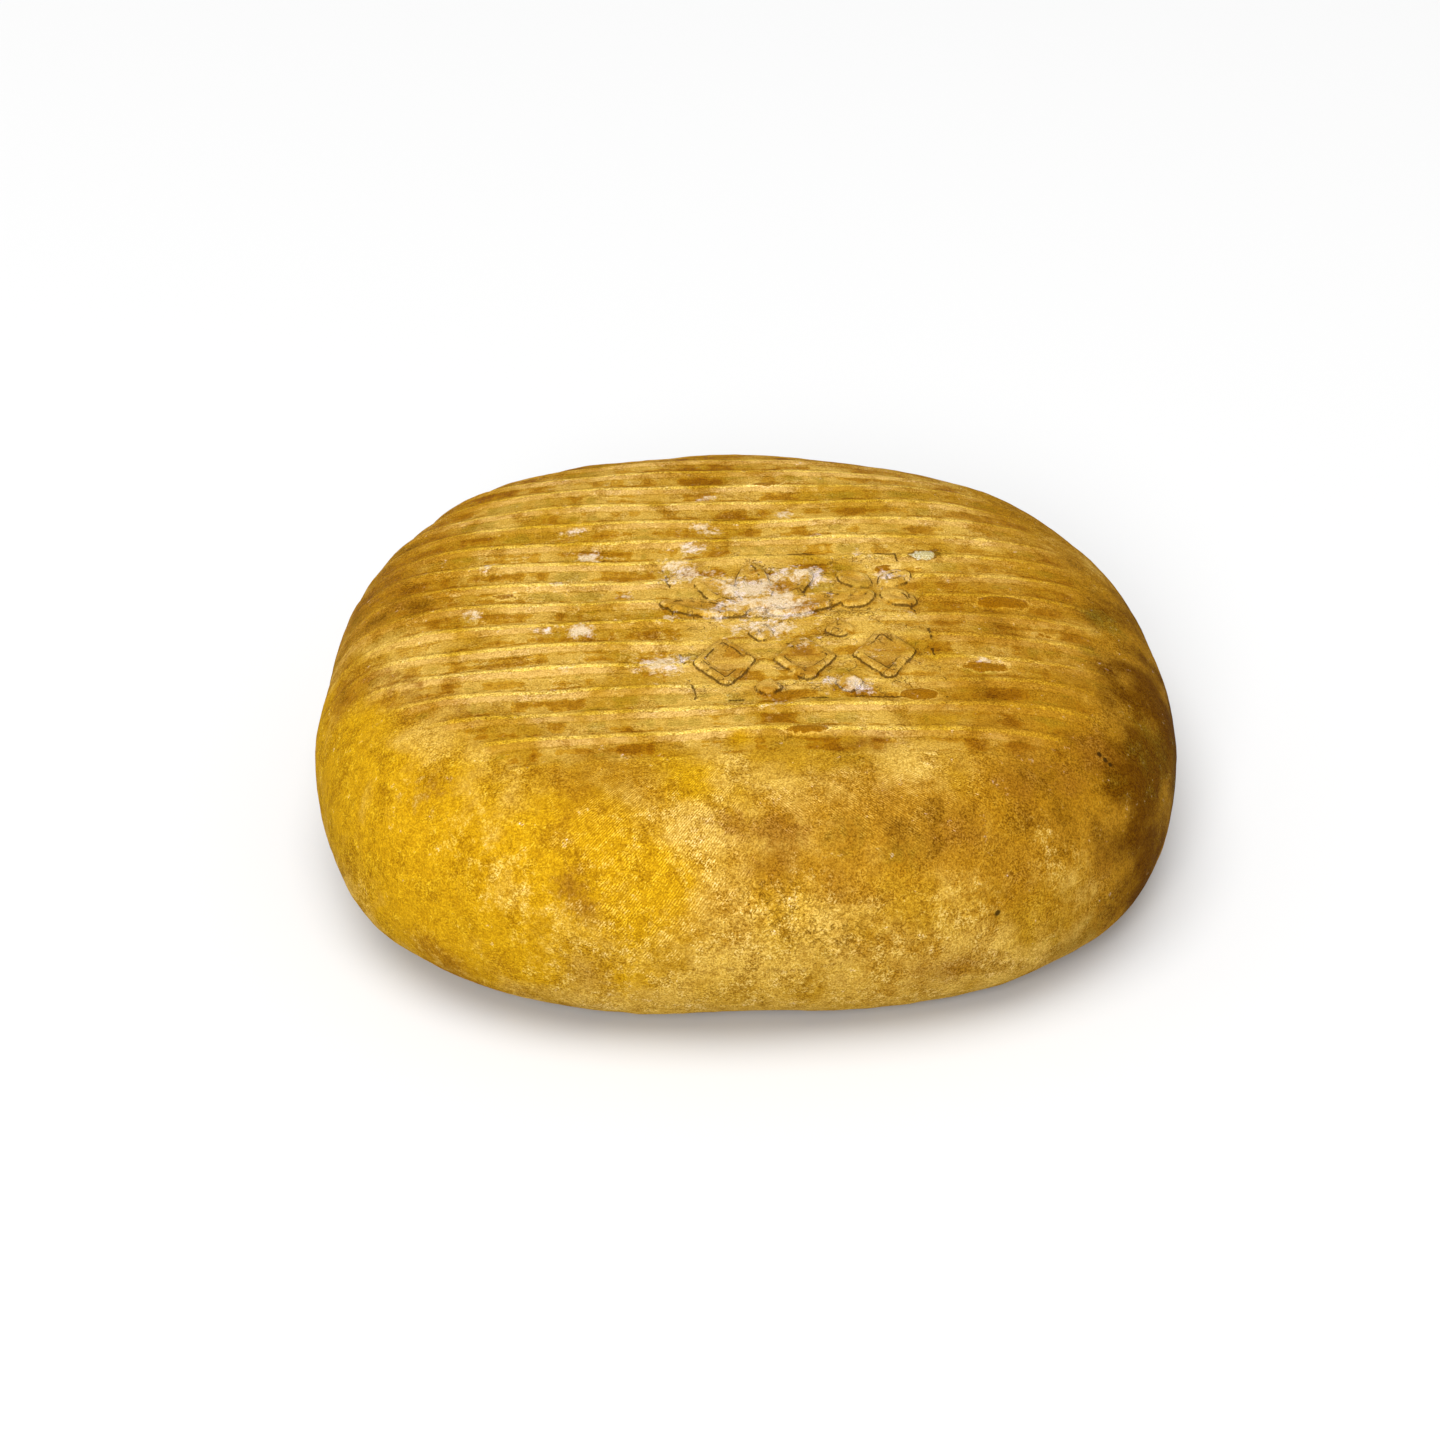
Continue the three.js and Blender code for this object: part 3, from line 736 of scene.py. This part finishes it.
    # Amber patches fill a trough for a few centimetres, each at its own place, and streaks run along it
    trough_y = add("ShaderNodeMath", {0: rib_number, 1: AMBER_SHIFT}, operation="MULTIPLY")["Value"]
    per_trough = add("ShaderNodeCombineXYZ", {"X": plan_place["X"], "Y": trough_y})["Vector"]
    long_way = add("ShaderNodeMapping", {"Vector": plan, "Scale": (0.18, 1.0, 1.0)})["Vector"]
    short_way = add("ShaderNodeMapping", {"Vector": plan, "Scale": (0.4, 1.0, 1.0)})["Vector"]
    patches = add("ShaderNodeTexNoise", {"Vector": per_trough, "Scale": cycles_per_metre(15.0),
                                         "Detail": 3.0, "Roughness": 0.6})["Fac"]
    smears = add("ShaderNodeTexNoise", {"Vector": long_way, "Scale": cycles_per_metre(6.0),
                                        "Detail": 4.0, "Roughness": 0.5})["Fac"]
    streaks = add("ShaderNodeTexNoise", {"Vector": short_way, "Scale": cycles_per_metre(1.6),
                                         "Detail": 3.0, "Roughness": 0.7})["Fac"]
    amber_noise = add("ShaderNodeMix", {"Factor": 0.35, 2: patches, 3: smears}, data_type="FLOAT")[0]
    amber = where((amber_noise, 0.512, 0.524), in_trough)

    curd_share = where((rib_share, 0.0, 1.0, 0.5, 0.15))
    grit_share = where((rib_share, 0.0, 1.0, 0.45, 0.2))
    on_line = where((phase, 0.13, 0.18), (phase, 0.33, 0.29), rib_show)
    banded = laid(broad, [
        # Curds pressed together, light and dark, and coarse grit
        ((1.14, 1.19, 1.2), where((mottle, 0.02, 0.09), curd_share)),
        ((0.78, 0.71, 0.5), where((mottle, -0.03, -0.11), curd_share)),
        ((1.2, 1.27, 1.5), where((grit, 0.02, 0.1), grit_share)),
        ((0.74, 0.68, 0.52), where((grit, -0.02, -0.1), grit_share)),
        # The dull slope in front of a crest, and the trough with its amber
        ((1.09, 1.08, 1.6), where((phase, 0.3, 0.34), (phase, 0.56, 0.5), rib_show)),
        ((0.98, 0.97, 0.95), in_trough),
        ((0.82, 0.69, 0.25), where(amber, 0.95)),
        ((0.77, 0.68, 0.42), where((amber_noise, 0.548, 0.56), in_trough)),
        ("trough_olive", where((amber_noise, 0.45, 0.41), in_trough, 0.35)),
        ((1.15, 1.2, 1.35), where((streaks, 0.52, 0.62), rib_share, 0.35)),
        ((0.8, 0.75, 0.6), where((streaks, 0.48, 0.38), rib_share, 0.35)),
        # Broken dark lines at the slope's foot and along the trough's front edge: painted shade beside each
        # rib
        ((0.66, 0.58, 0.4),
         where((phase, 0.52, 0.56), (phase, 0.62, 0.57), rib_show, (streaks, 0.44, 0.56))),
        ((0.55, 0.48, 0.35),
         where((phase, 0.03, 0.07), (phase, 0.13, 0.09), rib_show, (streaks, 0.5, 0.56))),
        # The crest's thin golden line, beaded with crumbs: a painted highlight along each crest
        ((1.25, 1.34, 1.3), where(on_line, (blotch, -0.16, 0.0))),
        ((1.26, 1.32, 1.6), where(on_line, (crumbs, -0.04, 0.04))),
    ])

    # Printed block: smoother tan figures, with dark, broken crevices round them whose dark is painted shade
    inside = ragged("figure", mottle, 1.2)
    on_figure = where((inside, -0.1, 0.5))
    block_inside_by = ragged("block_edge", mottle, 3.0)
    crazing = add("ShaderNodeMath", {0: noise["crazing"]}, operation="ABSOLUTE")["Value"]
    # Dark paint in the grooves round the figures, along the block's edge and in the fine crazing: painted
    # shade in these cracks and grooves
    shaded_crevice = strongest([
        where((inside, -0.75, -0.35), (inside, 0.15, -0.15), (blotch, -0.12, -0.02)),
        where((inside, 2.5, 2.8), (inside, 3.3, 3.0), (blotch, -0.02, 0.06)),
        where((block_inside_by, -0.5, -0.1), (block_inside_by, 0.5, 0.1), (blotch, 0.0, 0.05)),
        where((crazing, 0.013, 0.004), block, (blotch, -0.01, 0.03), 0.7),
    ])

    # Scabs of dried brine with a pale rim, mould, and a loose pale-green chip with a shadow at its edge
    scab = ragged("scab", mottle, 0.8)
    scabs = where((scab, 0.45, 0.53))
    broken = add("ShaderNodeMath", {0: grit, 1: 0.6, 2: mottle}, operation="MULTIPLY_ADD")["Value"]
    flake = ragged("flake", mottle, 0.8)
    chip = where((flake, 0.38, 0.46))
    marked = laid(banded, [
        ("printed_tan", where(on_figure, 0.35)),
        # Painted shade in the hollow just outside each figure, and a little in its sunk inner field
        ((0.84, 0.78, 0.65), where((inside, -3.0, -0.4), (inside, 0.2, -0.4))),
        ((0.92, 0.88, 0.8), where((inside, 2.4, 3.6))),
        # Painted highlight along each figure's raised rim
        ((1.2, 1.28, 1.6), where((inside, 0.0, 0.4), (inside, 1.3, 0.8), (mottle, -0.03, 0.05))),
        ("shaded_crevice", where(shaded_crevice, 0.85)),
        ((1.3, 1.42, 2.2), where((scab, 0.34, 0.42), (scabs, 1.0, 0.0))),
        ("scab", where(scabs, 0.9)),
        ("white_mould", where((ragged("mould", broken, 2.0), 0.32, 0.92), (crumbs, 0.18, 0.04), 0.86)),
        ("green_chip", where(chip, 0.85)),
        ((0.5, 0.45, 0.35), where((flake, 0.28, 0.36), (chip, 0.6, 0.0))),
    ])

    # Cheesecloth print: a fine twill, leaning one way on each side of the front
    prints = []
    for turn, mask in zip(THREAD_TURNS, ("twill", "twill_back")):
        lean = (0, 0, math.radians(turn))
        turned = add("ShaderNodeMapping", {"Vector": wrap, "Rotation": lean})["Vector"]
        threads = add("ShaderNodeTexWave", {
            "Vector": turned, "Scale": WAVE_SCALE * cycles_per_metre(THREAD_SPACING), "Distortion": 2.2,
            "Detail": 1.0, "Detail Scale": 1.5}, wave_type="BANDS")["Fac"]
        swing = add("ShaderNodeMath", {0: threads, 1: 0.5}, operation="SUBTRACT")["Value"]
        prints.append(where(swing, (grit, -0.12, 0.02), (ragged(mask, mottle, 3.2), 0.35, 0.8)))
    cloth = add("ShaderNodeMath", {0: prints[0], 1: prints[1]}, operation="ADD")["Value"]

    # Worm-like wrinkles where the rind dried fastest
    worms = add("ShaderNodeMath", {0: noise["worms"]}, operation="ABSOLUTE")["Value"]
    wrinkled = where((ragged("crinkle", mottle, 1.2), 0.3, 0.9))

    # Painted shadow lines across the front, scratches, and pin holes with painted shade
    spot = add("ShaderNodeSeparateXYZ", {"Vector": place})
    wavering = add("ShaderNodeMath", {0: mottle, 1: LINE_WAVER, 2: spot["Z"]},
                   operation="MULTIPLY_ADD")["Value"]

    def lines(ends):
        """Where thin lines run across the front, each faded at its ends."""
        found = []
        for left, left_z, right, right_z, width in ends:
            slope = (right_z - left_z) / (right - left)
            line_z = add("ShaderNodeMath", {0: spot["X"], 1: slope, 2: (left_z - slope * left) * MM},
                         operation="MULTIPLY_ADD")["Value"]
            above = add("ShaderNodeMath", {0: wavering, 1: line_z}, operation="SUBTRACT")["Value"]
            off = add("ShaderNodeMath", {0: above}, operation="ABSOLUTE")["Value"]
            found.append(where((off, width * MM, width * MM * 0.3), (spot["Y"], -105 * MM, -115 * MM),
                               (spot["X"], (left - 2) * MM, (left + 3) * MM),
                               (spot["X"], (right + 2) * MM, (right - 3) * MM)))
        return strongest(found)

    # Pricks on the crests and pin holes are only painted: their dark is painted shade, with no hole in the
    # mesh
    pricks = add("ShaderNodeTexVoronoi", {
        "Vector": place, "Scale": cycles_per_metre(PRICK_SPACING)})["Distance"]
    holes = [where((pricks, 0.24, 0.14), on_line, (blotch, 0.0, 0.08), 0.75)]
    for x, y, z, radius in PIN_HOLES:
        middle = (x * MM, y * MM, z * MM)
        gap = add("ShaderNodeVectorMath", {0: place, 1: middle}, operation="DISTANCE")["Value"]
        gap = add("ShaderNodeMath", {0: mottle, 1: LINE_WAVER / 6, 2: gap},
                  operation="MULTIPLY_ADD")["Value"]
        holes.append(where((gap, radius * MM, radius * MM * 0.5)))

    # Grain of crumbs under a millimetre, pale lace on the gold, and powder; then the cloth and the marks
    rubbed = where((on_figure, 0.0, 1.0, 1.0, 0.8), (rib_share, 0.0, 1.0, 1.0, 0.7))
    grain = where((blotch, -0.1, 0.14, 0.62, 1.12), rubbed)
    finished = laid(marked, [
        ((1.3, 1.4, 1.9), where((crumbs, 0.0, 0.09), grain)),
        ((0.58, 0.52, 0.38), where((crumbs, 0.0, -0.1), grain, (gold_and_light, 0.2, 0.9, 1.0, 0.55))),
        ((1.12, 1.22, 2.2),
         where((mottle, 0.0, 0.05), (crumbs, -0.06, 0.04), (blotch, 0.0, 0.05), rubbed, 0.7)),
        ("powder", where((crumbs, 0.02, 0.08), (mottle, 0.0, 0.12), (pale, 0.05, 0.6), 0.25)),
        ((1.28, 1.36, 2.0), where((cloth, 0.0, 0.45))),
        ((0.78, 0.72, 0.55), where((cloth, 0.0, -0.45))),
        ((1.15, 1.18, 1.4), where((worms, 0.04, 0.1), wrinkled)),
        ((0.5, 0.44, 0.3), where((worms, 0.035, 0.0), wrinkled)),
        ((0.5, 0.42, 0.3), where(lines(SHADOW_LINES), (mottle, -0.03, 0.03), 0.7)),
        ((1.3, 1.45, 2.2), where(lines(SCRATCHES), 0.7)),
        ("pin_hole", where(strongest(holes), 0.9)),
    ])

    # Only the finest relief is here: the rest is in the mesh
    height = 0.0
    for relief, rise in ((crumbs, CRUMB_HEIGHT), (grit, GRIT_HEIGHT), (shaded_crevice, -CREVICE_DEPTH)):
        height = add("ShaderNodeMath", {0: relief, 1: rise, 2: height}, operation="MULTIPLY_ADD")["Value"]
    bumps = add("ShaderNodeBump", {"Strength": 1.0, "Distance": 1.0, "Height": height})["Normal"]

    waxy = {0: strongest([scabs, amber]), 1: -0.25, 2: 0.85}
    roughness = add("ShaderNodeMath", waxy, operation="MULTIPLY_ADD")["Value"]
    surface = add("ShaderNodeBsdfPrincipled", {
        "Base Color": finished, "Roughness": roughness, "IOR": 1.45, "Specular IOR Level": 0.02,
        "Normal": bumps})
    add("ShaderNodeOutputMaterial", {"Surface": surface["BSDF"]})
    return made


def matt_board_material():
    """White matt board under the wheel: no gloss, so that only the soft shadow shows on it."""
    made, tree = new_material("matt_white_board")
    surface = add_node(tree, "ShaderNodeBsdfDiffuse", {"Color": colour(BOARD_COLOUR)})
    add_node(tree, "ShaderNodeOutputMaterial", {"Surface": surface.outputs["BSDF"]})
    return made


# ---------------------------------------------------------------- floor, light and camera

FLOOR_SIZE = 12.0           # metres
CAMERA_DISTANCE = 1152.0    # from the middle of the widest line
CAMERA_ELEVATION = 32.0     # degrees above the horizon
CAMERA_BEARING = -1.83      # degrees round from straight in front
FOCAL_PIXELS = 3219.7       # for an image 1440 pixels wide
IMAGE_PIXELS = 1440
SENSOR = 36.0
SHIFT = (-0.0173, -0.0124)


def add_floor():
    bpy.ops.object.select_all(action="DESELECT")
    bpy.ops.mesh.primitive_plane_add(size=FLOOR_SIZE)
    floor = bpy.context.object
    floor.name = "floor"
    floor.data.materials.append(matt_board_material())


def aim(thing, target):
    direction = Vector(target) - thing.location
    thing.rotation_euler = direction.to_track_quat("-Z", "Y").to_euler()


def add_soft_light(name, place, size, power, shade):
    bpy.ops.object.light_add(type="AREA", location=place)
    lamp = bpy.context.object
    lamp.name = name
    lamp.data.shape = "DISK"
    lamp.data.size = size
    lamp.data.energy = power
    lamp.data.color = colour(shade)[:3]
    aim(lamp, (0, 0, 0.04))


def add_lights():
    add_soft_light("overhead", (-1.4, -3.0, 11.8), 11.2, 1650.0, "#ffffff")
    add_soft_light("front_left", (-2.6, -11.2, 7.0), 6.4, 1600.0, "#ffffff")
    world = bpy.data.worlds.new("studio")
    world.use_nodes = True
    sky = world.node_tree.nodes["Background"]
    sky.inputs["Color"].default_value = colour("#ffffff")
    sky.inputs["Strength"].default_value = 0.45
    bpy.context.scene.world = world
    bpy.context.scene.view_settings.view_transform = "Standard"


def add_camera():
    tilt, turn = math.radians(CAMERA_ELEVATION), math.radians(CAMERA_BEARING)
    middle = Vector((0, 0, FOOT_DEPTH * MM))
    back = Vector((math.sin(turn) * math.cos(tilt), -math.cos(turn) * math.cos(tilt), math.sin(tilt)))
    bpy.ops.object.camera_add(location=middle + back * CAMERA_DISTANCE * MM)
    camera = bpy.context.object
    camera.rotation_euler = back.to_track_quat("Z", "Y").to_euler()
    camera.data.sensor_width = SENSOR
    camera.data.lens = SENSOR * FOCAL_PIXELS / IMAGE_PIXELS
    camera.data.shift_x, camera.data.shift_y = SHIFT
    bpy.context.scene.camera = camera


# ---------------------------------------------------------------- the scene

add_camera()
add_lights()
add_floor()

rind = shape_rind()
rind.data.materials.append(washed_rind_material())
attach(rind, "root")
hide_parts("cheese_wheel")
